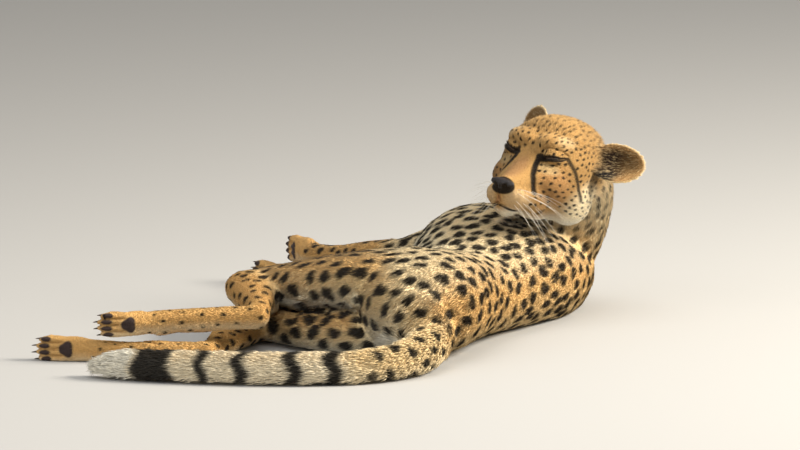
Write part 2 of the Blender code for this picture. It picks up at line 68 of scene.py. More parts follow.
norm = np.linalg.norm

SEED = 7
VOXEL = 0.0031  # grain of the skin before the face is made finer
OVERLAP = 0.0004  # each solid grows by this much, so that the cuts between them close
EAR_OVERLAP = 0.0022  # an ear is thin, so it grows by more
BODY_FACES = 40000  # of the skin where it is plain
FLESH = sorted(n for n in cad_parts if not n.startswith("eye_") and n != "nose")

BLACK = (14, 9, 7)
TAN = (232, 204, 152)
DEEP_TAN = (222, 180, 116)
CREAM = (244, 228, 192)
WHITE = (242, 235, 216)


# ---- meshes as arrays
def unit(v):
    """Vectors of length one."""
    v = np.asarray(v, float)
    return v / np.maximum(norm(v, axis=-1, keepdims=True), 1e-12)


def linear(colour):
    """A colour given as sRGB bytes, as linear light."""
    c = np.asarray(colour, float) / 255
    return np.where(c <= 0.04045, c / 12.92, ((c + 0.055) / 1.055) ** 2.4)


def smooth(low, high, x):
    """0 below low, 1 above high, and a smooth rise between."""
    t = np.clip((x - low) / (high - low), 0, 1)
    return t * t * (3 - 2 * t)


def arrays_of(mesh):
    """Points and triangles of a mesh."""
    mesh.calc_loop_triangles()
    points = np.empty(len(mesh.vertices) * 3, np.float32)
    mesh.vertices.foreach_get("co", points)
    faces = np.empty(len(mesh.loop_triangles) * 3, np.int32)
    mesh.loop_triangles.foreach_get("vertices", faces)
    return points.reshape(-1, 3).astype(float), faces.reshape(-1, 3)


def mesh_of(name, points, faces):
    """A smooth-shaded triangle mesh."""
    mesh = bpy.data.meshes.new(name)
    mesh.vertices.add(len(points))
    mesh.vertices.foreach_set("co", np.asarray(points, np.float32).ravel())
    mesh.loops.add(faces.size)
    mesh.loops.foreach_set("vertex_index", np.asarray(faces, np.int32).ravel())
    mesh.polygons.add(len(faces))
    mesh.polygons.foreach_set("loop_start", np.arange(0, faces.size, 3, dtype=np.int32))
    mesh.update(calc_edges=True)
    mesh.shade_smooth()
    return mesh


def placed(name, data):
    """A new object in the scene."""
    obj = bpy.data.objects.new(name, data)
    scene.collection.objects.link(obj)
    return obj


def piece_of(name, mesh, material, nodes):
    """A shown piece of the cheetah, in place of the named solids."""
    obj = placed(name, mesh)
    mesh.materials.append(material)
    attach(obj, "root")
    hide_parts(*nodes)
    return obj


def colour_points(mesh, colours):
    """Stores one linear colour for each point."""
    layer = mesh.color_attributes.new("Coat", "FLOAT_COLOR", "POINT")
    full = np.ones((len(colours), 4), np.float32)
    full[:, :3] = colours
    layer.data.foreach_set("color", full.ravel())


def normals_of(points, faces):
    """A normal for each point, from the faces round it."""
    a, b, c = points[faces[:, 0]], points[faces[:, 1]], points[faces[:, 2]]
    across = np.cross(b - a, c - a)
    total = np.zeros_like(points)
    for k in range(3):
        weights = np.tile(across[:, k], 3)
        total[:, k] = np.bincount(faces.T.ravel(), weights=weights, minlength=len(points))
    return unit(total)


def edge_keys(faces, count):
    """A number for each edge of each triangle, the same on both of its sides."""
    ends = np.stack([faces, np.roll(faces, -1, axis=1)], 2).astype(np.int64)
    ends.sort(axis=2)
    return ends[:, :, 0] * count + ends[:, :, 1]


class Ring:
    """The neighbours of each point, for averages over the surface."""

    def __init__(self, faces, count):
        keys = np.unique(edge_keys(faces, count))
        a, b = keys // count, keys % count
        self.ends = np.stack([a, b], 1)
        owner = np.concatenate([a, b])
        other = np.concatenate([b, a])
        order = np.argsort(owner, kind="stable")
        self.other = other[order]
        self.starts = np.searchsorted(owner[order], np.arange(count))
        self.degree = np.bincount(owner, minlength=count).astype(float)

    def average(self, values):
        total = np.add.reduceat(values[self.other], self.starts, axis=0)
        return total / (self.degree if values.ndim == 1 else self.degree[:, None])

    def spread(self, values, rounds):
        for _ in range(rounds):
            values = 0.5 * values + 0.5 * self.average(values)
        return values

    def relax(self, points, rounds, strength):
        """Smooths without shrinking. strength is a share from 0 to 1 for each point."""
        s = np.broadcast_to(np.asarray(strength, float), len(points))[:, None]
        for _ in range(rounds):
            points = points + 0.5 * s * (self.average(points) - points)
            points = points - 0.51 * s * (self.average(points) - points)
        return points


def largest_part(points, faces):
    """Drops everything but the largest connected surface."""
    a, b = Ring(faces, len(points)).ends.T
    label = np.arange(len(points))
    while True:
        new = label.copy()
        low = np.minimum(label[a], label[b])
        np.minimum.at(new, a, low)
        np.minimum.at(new, b, low)
        new = new[new]
        if (new == label).all():
            break
        label = new
    keep = label == np.bincount(label).argmax()
    index = np.cumsum(keep) - 1
    faces = faces[keep[faces].all(axis=1)]
    return points[keep], index[faces]


def joined(points, faces):
    """The mesh with points at one place made one."""
    merged, index = np.unique(np.round(points, 6), axis=0, return_inverse=True)
    return merged, index.reshape(-1)[faces]


def together(parts):
    """Several lots of points and faces as one."""
    starts = np.cumsum([0] + [len(p) for p, _ in parts[:-1]])
    faces = [f + start for (_, f), start in zip(parts, starts)]
    return np.concatenate([p for p, _ in parts]), np.concatenate(faces)


def modified(points, faces, kind, chosen=None, **settings):
    """Points and triangles after one modifier. chosen are the points of its vertex group."""
    mesh = mesh_of("work", points, faces)
    obj = placed("work", mesh)
    if chosen is not None:
        obj.vertex_groups.new(name="chosen").add(chosen.tolist(), 1.0, "REPLACE")
    change = obj.modifiers.new("change", kind)
    for setting, value in settings.items():
        setattr(change, setting, value)
    graph = bpy.context.evaluated_depsgraph_get()
    result = arrays_of(obj.evaluated_get(graph).data)
    bpy.data.objects.remove(obj)
    bpy.data.meshes.remove(mesh)
    return result


def surface_of(points, faces):
    """The surface as a tree, for the nearest place on it."""
    return BVHTree.FromPolygons([tuple(p) for p in points], [tuple(f) for f in faces.tolist()])


# ---- the skeleton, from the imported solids
NODE_POINTS = {name: arrays_of(obj.data)[0] for name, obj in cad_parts.items()}


def middle(name):
    low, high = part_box(name)
    return np.array((low + high) / 2)


def tree_of(points):
    tree = KDTree(len(points))
    for i, p in enumerate(points):
        tree.insert(p, i)
    tree.balance()
    return tree


NODE_TREES = {name: tree_of(points) for name, points in NODE_POINTS.items()}


def joint(a, b, reach=0.004):
    """The middle of the cut between two solids."""
    near = [p for p in NODE_POINTS[a] if NODE_TREES[b].find(p)[2] < reach]
    return np.mean(near, axis=0)


def far_end(name, start):
    points = NODE_POINTS[name]
    distance = norm(points - start, axis=1)
    return points[distance > distance.max() - 0.006].mean(axis=0)


eye_l, eye_r, nose = middle("eye_left"), middle("eye_right"), middle("nose")
between = (eye_l + eye_r) / 2
L = unit(eye_l - eye_r)
down_face = nose - between
down_face = unit(down_face - L * (down_face @ L))
SLOPE = math.atan2(0.0575, 0.0675)  # how steeply the nose lies below the eyes
rise = np.cross(down_face, L)
F = math.cos(SLOPE) * down_face + math.sin(SLOPE) * rise
U = math.cos(SLOPE) * rise - math.sin(SLOPE) * down_face
HEAD_SCALE = norm(nose - between) / 0.08867
HEAD = between - HEAD_SCALE * (0.0435 * F + 0.0325 * U)
AXES = np.array([F, L, U])


def to_head(points):
    return (np.asarray(points) - HEAD) @ AXES.T / HEAD_SCALE


def from_head(places):
    return HEAD + HEAD_SCALE * np.asarray(places) @ AXES


TRUNK = ("head", "neck_upper", "neck_lower", "chest", "loin", "pelvis")
TAIL_PARTS = ("pelvis", "tail_root", "tail_upper", "tail_lower", "tail_tip")
# Where each limb starts, how near its first cut is, and its solids.
LIMBS = (
    ("pelvis", 0.01, "thigh_", "shank_", "foot_", "paw_hind_"),
    ("chest", 0.01, "forearm_", "paw_fore_"),
    ("head", 0.006, "ear_"),
)
AXIS = {}


def set_axes(names, cuts):
    """Lets each solid's axis run from the cut before it to the cut after it."""
    AXIS.update((name, unit(b - a)) for name, a, b in zip(names, cuts, cuts[1:]))


cuts = [nose]
cuts += [joint(a, b) for a, b in zip(TRUNK, TRUNK[1:])]
cuts += [joint(b, a) for a, b in zip(TAIL_PARTS, TAIL_PARTS[1:])]
cuts.append(far_end("tail_tip", cuts[-1]))
set_axes(TRUNK + TAIL_PARTS[1:], cuts)
TAIL = np.array(cuts[len(TRUNK):])
for side in ("left", "right"):
    for body, reach, *names in LIMBS:
        names = [name + side for name in names]
        cuts = [joint(names[0], body, reach)]
        cuts += [joint(a, b) for a, b in zip(names, names[1:])]
        cuts.append(far_end(names[-1], cuts[-1]))
        set_axes(names, cuts)

# Which way the back, or the outside of a limb, faces on each solid.
SKY = (0.0, 0.0, 1.0)
BACK = {
    "head": U,
    "neck_upper": unit(U + 0.5 * np.array((1, 0, 0))),
    "neck_lower": unit((0.9, 0.0, 0.55)),
    "chest": unit((0.92, 0.0, 0.4)),
    "loin": unit((1.0, 0.1, 0.1)),
    "pelvis": unit((0.9, -0.25, 0.3)),
    "tail_root": unit((0.5, -0.5, 0.6)),
}

# Columns of the coat's table, for each kind of solid: coat depth, tuft length and tuft width (mm),
# lift (degrees), tufts per square mm, spot spacing, spot half-length and half-width (mm).
DEPTH, LENGTH, WIDTH, LIFT, CROWD, SPACING = range(6)
HALVES = slice(6, 8)
COAT = {
    "trunk": (3.0, 12.5, 1.35, 7, 0.28, 23.0, 14.0, 9.0),
    "rump": (3.2, 13.0, 1.4, 8, 0.26, 28.5, 12.6, 10.4),
    "neck": (3.6, 15.0, 1.5, 12, 0.26, 17.5, 6.2, 5.2),
    "head": (1.5, 5.4, 0.85, 10, 0.76, 9.2, 3.0, 2.4),
    "ear": (1.0, 5.0, 0.85, 12, 0.8, 9.0, 0.2, 0.2),
    "tail": (6.5, 21.0, 1.8, 20, 0.25, 27.0, 9.0, 8.0),
    "shank": (2.4, 9.0, 1.2, 8, 0.32, 21.0, 7.4, 5.8),
    "foot": (1.7, 6.5, 1.3, 11, 0.42, 19.0, 3.6, 3.1),
    "paw": (1.3, 5.0, 1.1, 12, 0.5, 14.0, 2.2, 1.9),
}
KIND_OF_WORD = {
    "chest": "trunk", "loin": "trunk", "pelvis": "rump", "thigh": "rump", "forearm": "shank",
}
KIND = {n: KIND_OF_WORD.get(n.split("_")[0], n.split("_")[0]) for n in FLESH}


# ---- the skin
def voxel_skin():
    """All the solids grown a little and remeshed as one surface."""
    parts = []
    for name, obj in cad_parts.items():
        p, f = joined(*arrays_of(obj.data))
        parts.append((p + normals_of(p, f) * (EAR_OVERLAP if name.startswith("ear") else OVERLAP), f))
    return largest_part(*modified(
        *together(parts), "REMESH", mode="VOXEL", voxel_size=VOXEL, adaptivity=0))


def refined(points, faces, chosen):
    """Splits each triangle of chosen points into four, and their neighbours to match."""
    count = len(points)
    keys = edge_keys(faces, count)
    split_keys = np.unique(keys[chosen[faces].all(axis=1)])
    for _ in range(6):  # a triangle with two split edges gets its third split as well
        two = np.isin(keys, split_keys).sum(axis=1) == 2
        if not two.any():
            break
        split_keys = np.unique(np.concatenate([split_keys, keys[two].ravel()]))
    split = np.isin(keys, split_keys)
    added = (points[split_keys // count] + points[split_keys % count]) / 2
    index = np.where(split, count + np.searchsorted(split_keys, keys), -1)
    number = split.sum(axis=1)
    corners = np.concatenate([faces, index], axis=1)  # three corners, and the middle of each edge
    parts = [faces[number == 0]]
    parts += [corners[number == 3][:, pick] for pick in ([0, 3, 5], [3, 1, 4], [5, 4, 2], [3, 4, 5])]
    for k in range(3):
        one = corners[(number == 1) & split[:, k]]
        after, opposite = (k + 1) % 3, (k + 2) % 3
        parts += [one[:, [k, 3 + k, opposite]], one[:, [3 + k, after, opposite]]]
    return np.concatenate([points, added]), np.concatenate(parts)


def thinned(points, faces, keep, wanted):
    """The surface with about so many triangles where its points aren't kept as they are."""
    kept_faces = keep[faces].all(axis=1).sum()
    return largest_part(*modified(
        points, faces, "DECIMATE", chosen=np.flatnonzero(keep),
        ratio=(kept_faces + wanted) / len(faces), vertex_group="chosen",
        invert_vertex_group=True, vertex_group_factor=1.0))


def labels_of(points):
    """For each point, the index in FLESH of the solid whose surface is nearest."""
    everything = np.concatenate([NODE_POINTS[n] for n in FLESH])
    owner = np.repeat(np.arange(len(FLESH)), [len(NODE_POINTS[n]) for n in FLESH])
    tree = tree_of(everything)
    return np.array([owner[tree.find(p)[1]] for p in points])


def nodes_of(*kinds):
    """The solids of flesh of these kinds, or whose names start with these words."""
    return [n for n in FLESH if KIND[n] in kinds or n.split("_")[0] in kinds]


def nearest_is(*kinds):
    """1 at points whose nearest solid is one of these, and 0 elsewhere."""
    return np.isin(label, [FLESH.index(n) for n in nodes_of(*kinds)]).astype(float)


def paw_frame(name, start, low_side):
    """A paw's own axes and size: ahead over its toes, over from toe to toe, and to its sole."""
    ahead = AXIS[name]
    over = unit(np.array((0, 0, 1.0)) - ahead * ahead[2])
    sole = np.cross(ahead, over)
    sole = sole if sole @ low_side > 0 else -sole
    rows = (NODE_POINTS[name] - start) @ np.array([ahead, over, sole]).T
    low, high = rows.min(axis=0), rows.max(axis=0)
    centre = start + over * (low[1] + high[1]) / 2 + sole * (low[2] + high[2]) / 2
    return centre, ahead, over, sole, high[0], (high[1] - low[1]) / 2, (high[2] - low[2]) / 2


def in_paw(name, points):
    """Where points lie: ahead as a share of the paw's length, over as one of half its width."""
    centre, ahead, over, _, length, half_wide, _ = PAW_FRAMES[name]
    away = points - centre
    return (away @ ahead) / length, (away @ over) / half_wide


PAW_FRAMES = {}
for side in ("left", "right"):
    for paw, before, low_side in (
        ("paw_hind_", "foot_", (0, -1.0, 0)), ("paw_fore_", "forearm_", (-1.0, -0.4, 0)),
    ):
        PAW_FRAMES[paw + side] = paw_frame(
            paw + side, joint(before + side, paw + side), np.array(low_side))

SOFTEN_ALL = 10  # rounds of smoothing over the whole skin
SOFTEN_PLAIN = 45  # more rounds, away from head, ears and paws
EYE_ZONE = (0.022, 0.024, 0.014)  # half sizes of what is made finest round each eye
LIPS, LIPS_ZONE = (0.098, 0, -0.052), (0.036, 0.028, 0.018)


def inside(centre, size):
    """True at points inside an ellipsoid in the head's axes."""
    return norm((to_head(points) - centre) / size, axis=1) < 1


points, faces = voxel_skin()
ring = Ring(faces, len(points))
label = labels_of(points)
fine = ring.spread(nearest_is("head", "ear", "paw"), 8)
points = ring.relax(points, SOFTEN_ALL, 1.0)
points = ring.relax(points, SOFTEN_PLAIN, smooth(0.7, 0.1, fine))
points, faces = thinned(points, faces, fine > 0.3, BODY_FACES)

# The face, the ears and the toes are made finer, and the eyes and lips finer again.
label = labels_of(points)
zone = ((nearest_is("head") > 0) & (to_head(points)[:, 0] > 0.0)) | (nearest_is("ear") > 0)
for name in PAW_FRAMES:
    ahead = in_paw(name, points)[0]
    zone |= (ahead > 0.36) & (ahead < 1.4) & (label == FLESH.index(name))
points, faces = refined(points, faces, zone)
finest = inside(to_head(eye_l), EYE_ZONE) | inside(to_head(eye_r), EYE_ZONE) | inside(LIPS, LIPS_ZONE)
points, faces = refined(points, faces, finest)
ring = Ring(faces, len(points))
label = labels_of(points)
on_face = ring.spread(smooth(0.0, 0.03, to_head(points)[:, 0]) * nearest_is("head"), 3)
points = ring.relax(points, 6, on_face)

# The ears are drawn back to their solids, which are thinner than the grain.
EAR_SKIN = 0.0006
for name in ("ear_left", "ear_right"):
    solid = surface_of(*arrays_of(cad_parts[name].data))
    for i in np.flatnonzero(label == FLESH.index(name)):
        found, facing = solid.find_nearest(Vector(points[i]))[:2]
        points[i] = np.array(found) + EAR_SKIN * np.array(facing)
points = ring.relax(points, 8, ring.spread(nearest_is("ear"), 3))

# Soft shares of each solid over the skin, and what follows from them.
share = np.zeros((len(points), len(FLESH)), np.float32)
share[np.arange(len(points)), label] = 1
share = ring.spread(share, 14)


def part_of(*kinds):
    """The soft share of these solids at each point of the skin."""
    return share[:, [FLESH.index(n) for n in nodes_of(*kinds)]].sum(axis=1)


is_head, is_ear, is_neck, is_tail = part_of("head"), part_of("ear"), part_of("neck"), part_of("tail")
is_leg, is_thigh, is_paw = part_of("shank", "foot", "paw"), part_of("thigh"), part_of("paw")
trunk = np.clip(1 - is_head - is_ear - is_tail - is_leg, 0, 1)
head_only = smooth(0.15, 0.6, is_head)
fields = share @ np.array([COAT[KIND[n]] for n in FLESH], float)
normals = normals_of(points, faces)
back = unit(share @ np.array([BACK.get(n, SKY) for n in FLESH]))
dorsal = ring.spread((normals * back).sum(axis=1), 10)  # 1 on the back, -1 on the belly

# The coat's flow runs along each solid, away from the nose on the head, and down the trunk.
flow = share @ np.array([AXIS[n] for n in FLESH])
flow = flow + (is_head * 1.6)[:, None] * unit(points - from_head((0.118, 0, -0.02)))
flow = flow - (0.35 * trunk)[:, None] * back
flow = ring.spread(unit(flow), 12)
flow = unit(flow - normals * (flow * normals).sum(axis=1, keepdims=True))

# ---- the face
# The brows and temples stand out sideways.
TEMPLES = 0.0048
x, y, z = to_head(points).T
broad = head_only * smooth(-0.04, 0.005, x) * smooth(0.08, 0.05, x)
broad = broad * smooth(-0.045, -0.01, z) * smooth(0.085, 0.06, z)
sideways = np.sign(y) * smooth(0.012, 0.045, np.abs(y))
points = points + (TEMPLES * HEAD_SCALE * ring.spread(broad * sideways, 4))[:, None] * L
normals = normals_of(points, faces)
x, y, z = to_head(points).T
surface = surface_of(points, faces)

# Lines of the left side of the face, as places in the head's own axes, in millimetres.
FACE_LINES = {
    "crease": [(56.5, 19, 37.5), (55.5, 32, 43), (46.5, 44, 42.5), (35.5, 49, 39.5)],
    "bag": [(59.5, 21, 21.5), (57.5, 33, 17.5), (49.5, 45, 20.5)],
    "tear": [(58, 18.8, 26.2), (66.5, 20.5, 13), (73.7, 25, -0.9), (75.5, 30.5, -14), (74.1, 35, -26.4)],
    "cheek": [(33, 50, 33.5), (21.8, 59.8, 18.8), (12, 62.5, 4), (2.4, 64.1, -9.8), (-4, 65, -19)],
    "mouth": [(107.5, 0, -54), (103.5, 8, -57.5), (90, 19, -60), (74, 27, -60), (60, 33, -57),
              (48, 38, -50)],
}
# The left lids (1), and the right ones (-1), which are drawn up a little more at their outer end.
LID_LINE = {
    1: [(57.5, 19, 28), (60.3, 26.5, 28.6), (59.5, 35, 29.4), (54.1, 43, 30.8), (35.5, 50, 34.1)],
    -1: [(56.5, 22.5, 28), (59, 30, 29.2), (58, 38, 31.8), (50, 47, 35), (36, 53, 38.5)],
}
PHILTRUM = [(118, 0, -36), (113, 0, -45), (107.5, 0, -54)]


def curve_on(places, sign, step=0.001):
    """A line through places of one side of the face, laid on the skin, as a row of points."""
    line = from_head(np.array(places) * (1, sign, 1) / 1000)
    for _ in range(3):
        lengths = norm(np.diff(line, axis=0), axis=1)
        along = np.concatenate([[0], np.cumsum(lengths)])
        at = np.arange(0, along[-1] + step, step)
        line = np.stack([np.interp(at, along, line[:, k]) for k in range(3)], 1)
        line = np.array([surface.find_nearest(p)[0] for p in line])
    return line


def gap_to(line, points, reach=0.02):
    """Distance to a row of points, or 1 m beyond reach, and where along the row that is, as a share."""
    low, high = line.min(axis=0) - reach, line.max(axis=0) + reach
    near = ((points > low) & (points < high)).all(axis=1)
    gap = np.full(len(points), 1.0)
    along = np.zeros(len(points))
    if near.any():
        d = norm(points[near][:, None] - line[None], axis=2)
        gap[near] = d.min(axis=1)
        along[near] = d.argmin(axis=1) / (len(line) - 1)
    return gap, along


def bump(gap, width):
    """1 where the gap is nothing, falling softly to 0."""
    return np.exp(-((gap / width) ** 2))


def out_of(centre, size):
    """Squared distance from a place of the face (mm), on either side of it, with size as the unit."""
    away = (np.stack([x, np.abs(y), z], 1) - np.array(centre) / 1000) / (np.array(size) / 1000)
    return (away ** 2).sum(axis=1)


LINES = {}
for sign in (1, -1):
    LINES["lid", sign] = curve_on(LID_LINE[sign], sign, 0.0007)
    for name, places in FACE_LINES.items():
        LINES[name, sign] = curve_on(places, sign)
LINES["philtrum", 0] = curve_on(PHILTRUM, 1)

# Grooves along the lines: depth and width in metres, and where they are drawn.
GROOVES = {
    "crease": (0.0009, 0.0016, head_only),
    "bag": (0.0006, 0.0016, head_only),
    "tear": (0.0007, 0.0028, 1),
    "mouth": (0.0026, 0.0016, 1),
    "philtrum": (0.0018, 0.0014, 1),
}
push = np.zeros(len(points))  # outwards along the normal
for (name, sign), line in LINES.items():
    if name in GROOVES:
        deep, wide, where = GROOVES[name]
        gap, _ = gap_to(line, points)
        push -= deep * bump(gap, wide) * where
    if name == "mouth":  # the lips stand out on both sides of it
        push += 0.001 * bump(gap - 0.0045, 0.0022) * (gap < 0.02)

# Soft swellings: height, place on the face and size, in millimetres.
for height, centre, size in (
    (4.5, (88, 0, -70), (26, 18, 12)),  # chin
    (2, (50, 38, 56), (22, 22, 11)),  # brows
    (-3, (114, 10, -48), (12, 16, 12)),  # hollow under the nose
):
    push += height / 1000 * np.exp(-out_of(centre, size)) * head_only
crown = smooth(0.045, 0.066, z) * smooth(0.06, 0.02, x) * smooth(-0.11, -0.07, x)
crown = ring.spread(crown * head_only, 4)

# The flesh of the two hind legs swells where one lies on the other.
TOUCH_FROM, TOUCH_FULL = 0.04, 0.018  # how near the other leg it starts, and how near it is full
THIGH_SWELL, FOOT_SWELL = 0.0085, 0.003
TOUCHING = (
    ("thigh_left", "thigh_right", THIGH_SWELL), ("shank_left", "thigh_right", THIGH_SWELL),
    ("foot_left", "foot_right", FOOT_SWELL),
)
for mine, other, most in TOUCHING + tuple((b, a, most) for a, b, most in TOUCHING):
    for i in np.flatnonzero(label == FLESH.index(mine)):
        found, _, gap_here = NODE_TREES[other].find(points[i])
        if gap_here < TOUCH_FROM:
            facing = normals[i] @ unit(np.array(found) - points[i])
            swollen = most * smooth(TOUCH_FROM, TOUCH_FULL, gap_here) * smooth(0.1, 0.5, facing)
            push[i] = max(push[i], swollen)

# Toes, knuckles and pads. Places are shares of the paw's length and of half its width.
TOES = (-0.74, -0.25, 0.25, 0.74)
pads = np.zeros(len(points))
reach_out = np.zeros((len(points), 3))
for name, (_, ahead, _, sole, *_) in PAW_FRAMES.items():
    t, h = in_paw(name, points)
    here = ring.spread((label == FLESH.index(name)).astype(float), 4)
    top = here * smooth(0.0, 0.35, -(normals @ sole))
    under = here * smooth(0.0, 0.35, normals @ sole)
    for k in (-0.5, 0.0, 0.5):  # clefts between the toes
        push -= 0.0042 * here * bump(h - k, 0.115) * smooth(0.48, 0.66, t)
    for k in TOES:
        arch = 0.03 * (1 - abs(k))  # the middle toes reach further
        push += 0.0016 * top * bump(h - k, 0.15) * bump(t - 0.62 - arch, 0.08)
        push -= 0.0012 * top * bump(h - k, 0.15) * bump(t - 0.8 - arch, 0.06)
        toe_pad = np.sqrt(((t - 0.83 - arch) / 0.088) ** 2 + ((h - k) / 0.2) ** 2)
        pads = np.maximum(pads, under * smooth(1.15, 0.85, toe_pad))
        push += 0.002 * under * np.exp(-toe_pad ** 2)
        longer = 0.0034 * here * bump(h - k, 0.22) * smooth(0.7, 0.92, t) * (1.15 - abs(k))
        reach_out += longer[:, None] * ahead
    turn = np.arctan2(h / 0.58, (t - 0.5) / 0.12)
    palm = np.sqrt(((t - 0.5) / 0.12) ** 2 + (h / 0.58) ** 2) / (1 + 0.13 * np.cos(3 * turn))
    pads = np.maximum(pads, under * smooth(1.15, 0.9, palm) * smooth(0.95, 0.75, np.abs(h)))
    push += 0.0024 * under * np.exp(-palm ** 3)

# The skin lies under the solids' surface by the depth of the coat, which is thinner on the muzzle.
depth = fields[:, DEPTH] / 1000 * (1 - 0.4 * smooth(0.07, 0.09, x) * is_head)
skin = points - normals * depth[:, None] + normals * push[:, None] + reach_out

# Lids: the skin stays over each eyeball, and parts along the lid line.
EYE_R = (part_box("eye_left")[1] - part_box("eye_left")[0]).x / 2
LID = 0.0016  # thickness of a lid
LID_ROLL = 0.0013  # how much its edge stands out
EYE_REACH = 0.012  # how far round the eyeball the skin is shaped
SLIT_DEEP = 0.0012  # the open slit lies this far inside the eyeball
for sign, eye in ((1, eye_l), (-1, eye_r)):
    away = skin - eye
    distance = norm(away, axis=1)
    gap, at = gap_to(LINES["lid", sign], points, 0.03)
    near = (distance < EYE_R + EYE_REACH) & (x > 0.02)
    wanted = EYE_R + LID + LID_ROLL * bump(gap - 0.0032, 0.0018)
    lifted = np.where(near & (distance < wanted), wanted, distance)
    narrow = np.clip(1 - (2 * at - 1) ** 2, 0, 1) ** 0.5
    slit = smooth(0.0014, 0.0004, gap / np.maximum(narrow, 0.3)) * (gap < 0.01)
    lifted = lifted - slit * (lifted - (EYE_R - SLIT_DEEP))
    target = eye + away / distance[:, None] * lifted[:, None]
    skin = np.where(((gap < 0.028) & near)[:, None], target, skin)

# The nose leather is a solid of its own, so the skin drops away under it.
NOSE_SIZE = (0.014, 0.0175, 0.0135)
under_nose = smooth(1.0, 0.72, norm((to_head(points) - to_head(nose)) / NOSE_SIZE, axis=1))
skin = skin - normals * (under_nose * 0.005)[:, None]
skin[:, 2] = np.maximum(skin[:, 2], 0.0008)
skin_normals = normals_of(skin, faces)

# ---- ground colour
rng = np.random.default_rng(SEED)
PAD = (58, 47, 44)
LEG = (212, 166, 98)
FACE = (184, 146, 90)


def mixed(base, colour, weight):
    """Linear colours with a colour of sRGB bytes mixed in by its weight."""
    return base + (linear(colour) - base) * np.clip(weight, 0, 1)[:, None]


def patch(centre, size):
    """1 inside the middle of an ellipsoid, 0 outside, on both sides of the face."""
    return smooth(1.25, 0.6, np.sqrt(out_of(centre, size))) * is_head


base = np.repeat(linear(TAN)[None], len(points), axis=0)
for colour, weight in (
    (DEEP_TAN, smooth(0.35, 0.95, dorsal) * trunk),  # along the back
    (CREAM, smooth(0.25, -0.35, dorsal) * trunk),  # lower flanks
    (CREAM, 0.45 * smooth(0.1, 0.8, normals[:, 2]) * trunk * (1 - is_thigh)),  # painted sunlight: paler where the flank faces up
    (WHITE, smooth(-0.35, -0.85, dorsal) * trunk),  # belly
    (CREAM, 0.5 * is_neck * smooth(0.9, 0.2, dorsal)),  # throat
    (LEG, is_leg * 0.9),
    (CREAM, is_leg * smooth(0.1, -0.6, dorsal) * 0.55),
    (CREAM, is_tail * smooth(0.9, 0.0, dorsal) * 0.7),
    (FACE, is_head),
):
    base = mixed(base, colour, weight)

# Patches of the face: colour, strength, place and size (mm).
for colour, strength, centre, size in (
    ((174, 132, 82), 0.8, (45, 46, -10), (36, 26, 30)),  # cheeks
    ((164, 126, 82), 1, (85, 0, 4), (34, 14, 28)),  # bridge of the nose
    ((206, 176, 132), 1, (96, 24, -44), (26, 22, 18)),  # upper lips
    (WHITE, 1, (78, 14, -74), (46, 28, 18)),  # chin
    ((234, 214, 172), 0.45, (34, 40, 54), (20, 16, 11)),  # over the eyes
    ((190, 164, 118), 0.8, (56, 37, 12), (18, 18, 9)),  # under the eyes
    (CREAM, 1, (-30, 60, -35), (50, 35, 45)),  # sides of the neck
    (WHITE, 1, (-30, 30, -75), (80, 50, 34)),  # throat
    ((118, 66, 48), 0.5, (110, 0, -48), (10, 6, 10)),  # under the nose
    ((70, 48, 36), 0.75, (52, 37, -52), (9, 8, 6)),  # corners of the mouth
):
    base = mixed(base, colour, strength * patch(centre, size))
base = mixed(base, PAD, pads)

# Ears: tan inside a pale rim, with painted shade in the hollow, and a black patch across the back. Each
# ear opens this way.
EAR_OPEN = {"ear_left": (0.75, 0.25, 0.3), "ear_right": (0.8, -0.5, 0.2)}
ear_inside = np.zeros(len(points))
for name, open_way in EAR_OPEN.items():
    rise_way = AXIS[name]
    way = np.array(open_way) @ AXES
    way = unit(way - rise_way * (way @ rise_way))
    wide_way = np.cross(rise_way, way)
    mine = share[:, FLESH.index(name)]
    rows = NODE_POINTS[name] @ np.array([rise_way, wide_way]).T
    low, high = rows.min(axis=0), rows.max(axis=0)
    up = (points @ rise_way - low[0]) / (high[0] - low[0])
    wide = (points @ wide_way - (low[1] + high[1]) / 2) / ((high[1] - low[1]) / 2)
    edge = np.sqrt(((up - 0.45) / 0.55) ** 2 + wide ** 2)
    below = -wide if wide_way[2] > 0 else wide
    front = smooth(-0.05, 0.25, normals @ way) * mine
    rear_side = smooth(0.05, -0.25, normals @ way) * mine
    ear_inside += front * smooth(0.95, 0.75, edge)
    for colour, weight in (
        ((150, 116, 72), front),
        ((50, 36, 25), front * smooth(0.85, 0.5, edge) * smooth(0.78, 0.35, up)),  # painted shade in the hollow
        ((24, 18, 14), mine * smooth(0.52, 0.36, up) * smooth(0.15, 0.5, below)),  # lower foot
        ((30, 22, 17), rear_side * smooth(0.9, 0.7, edge) * smooth(0.8, 0.66, up)),
        ((226, 200, 152), mine * smooth(0.86, 0.98, edge) * smooth(0.1, 0.3, up)),  # rim
    ):
        base = mixed(base, colour, weight)


# ---- markings
def sample(weight, chooser):
    """Random places on the skin, so many to the square metre: face index and shares of its corners."""
    a, b, c = skin[faces[:, 0]], skin[faces[:, 1]], skin[faces[:, 2]]
    area = norm(np.cross(b - a, c - a), axis=1) / 2
    number = np.floor(area * weight[faces].mean(axis=1) + chooser.random(len(faces))).astype(int)
    owner = np.repeat(np.arange(len(faces)), number)
    u = np.sqrt(chooser.random(len(owner)))
    v = chooser.random(len(owner))
    return owner, np.stack([1 - u, u * (1 - v), u * v], 1)


def carried(values, owner, corners):
    """Values of the skin's points, at places on its faces."""
    picked = values[faces[owner]]
    if values.ndim == 1:
        return (picked * corners).sum(axis=1)
    return (picked * corners[:, :, None]).sum(axis=1)


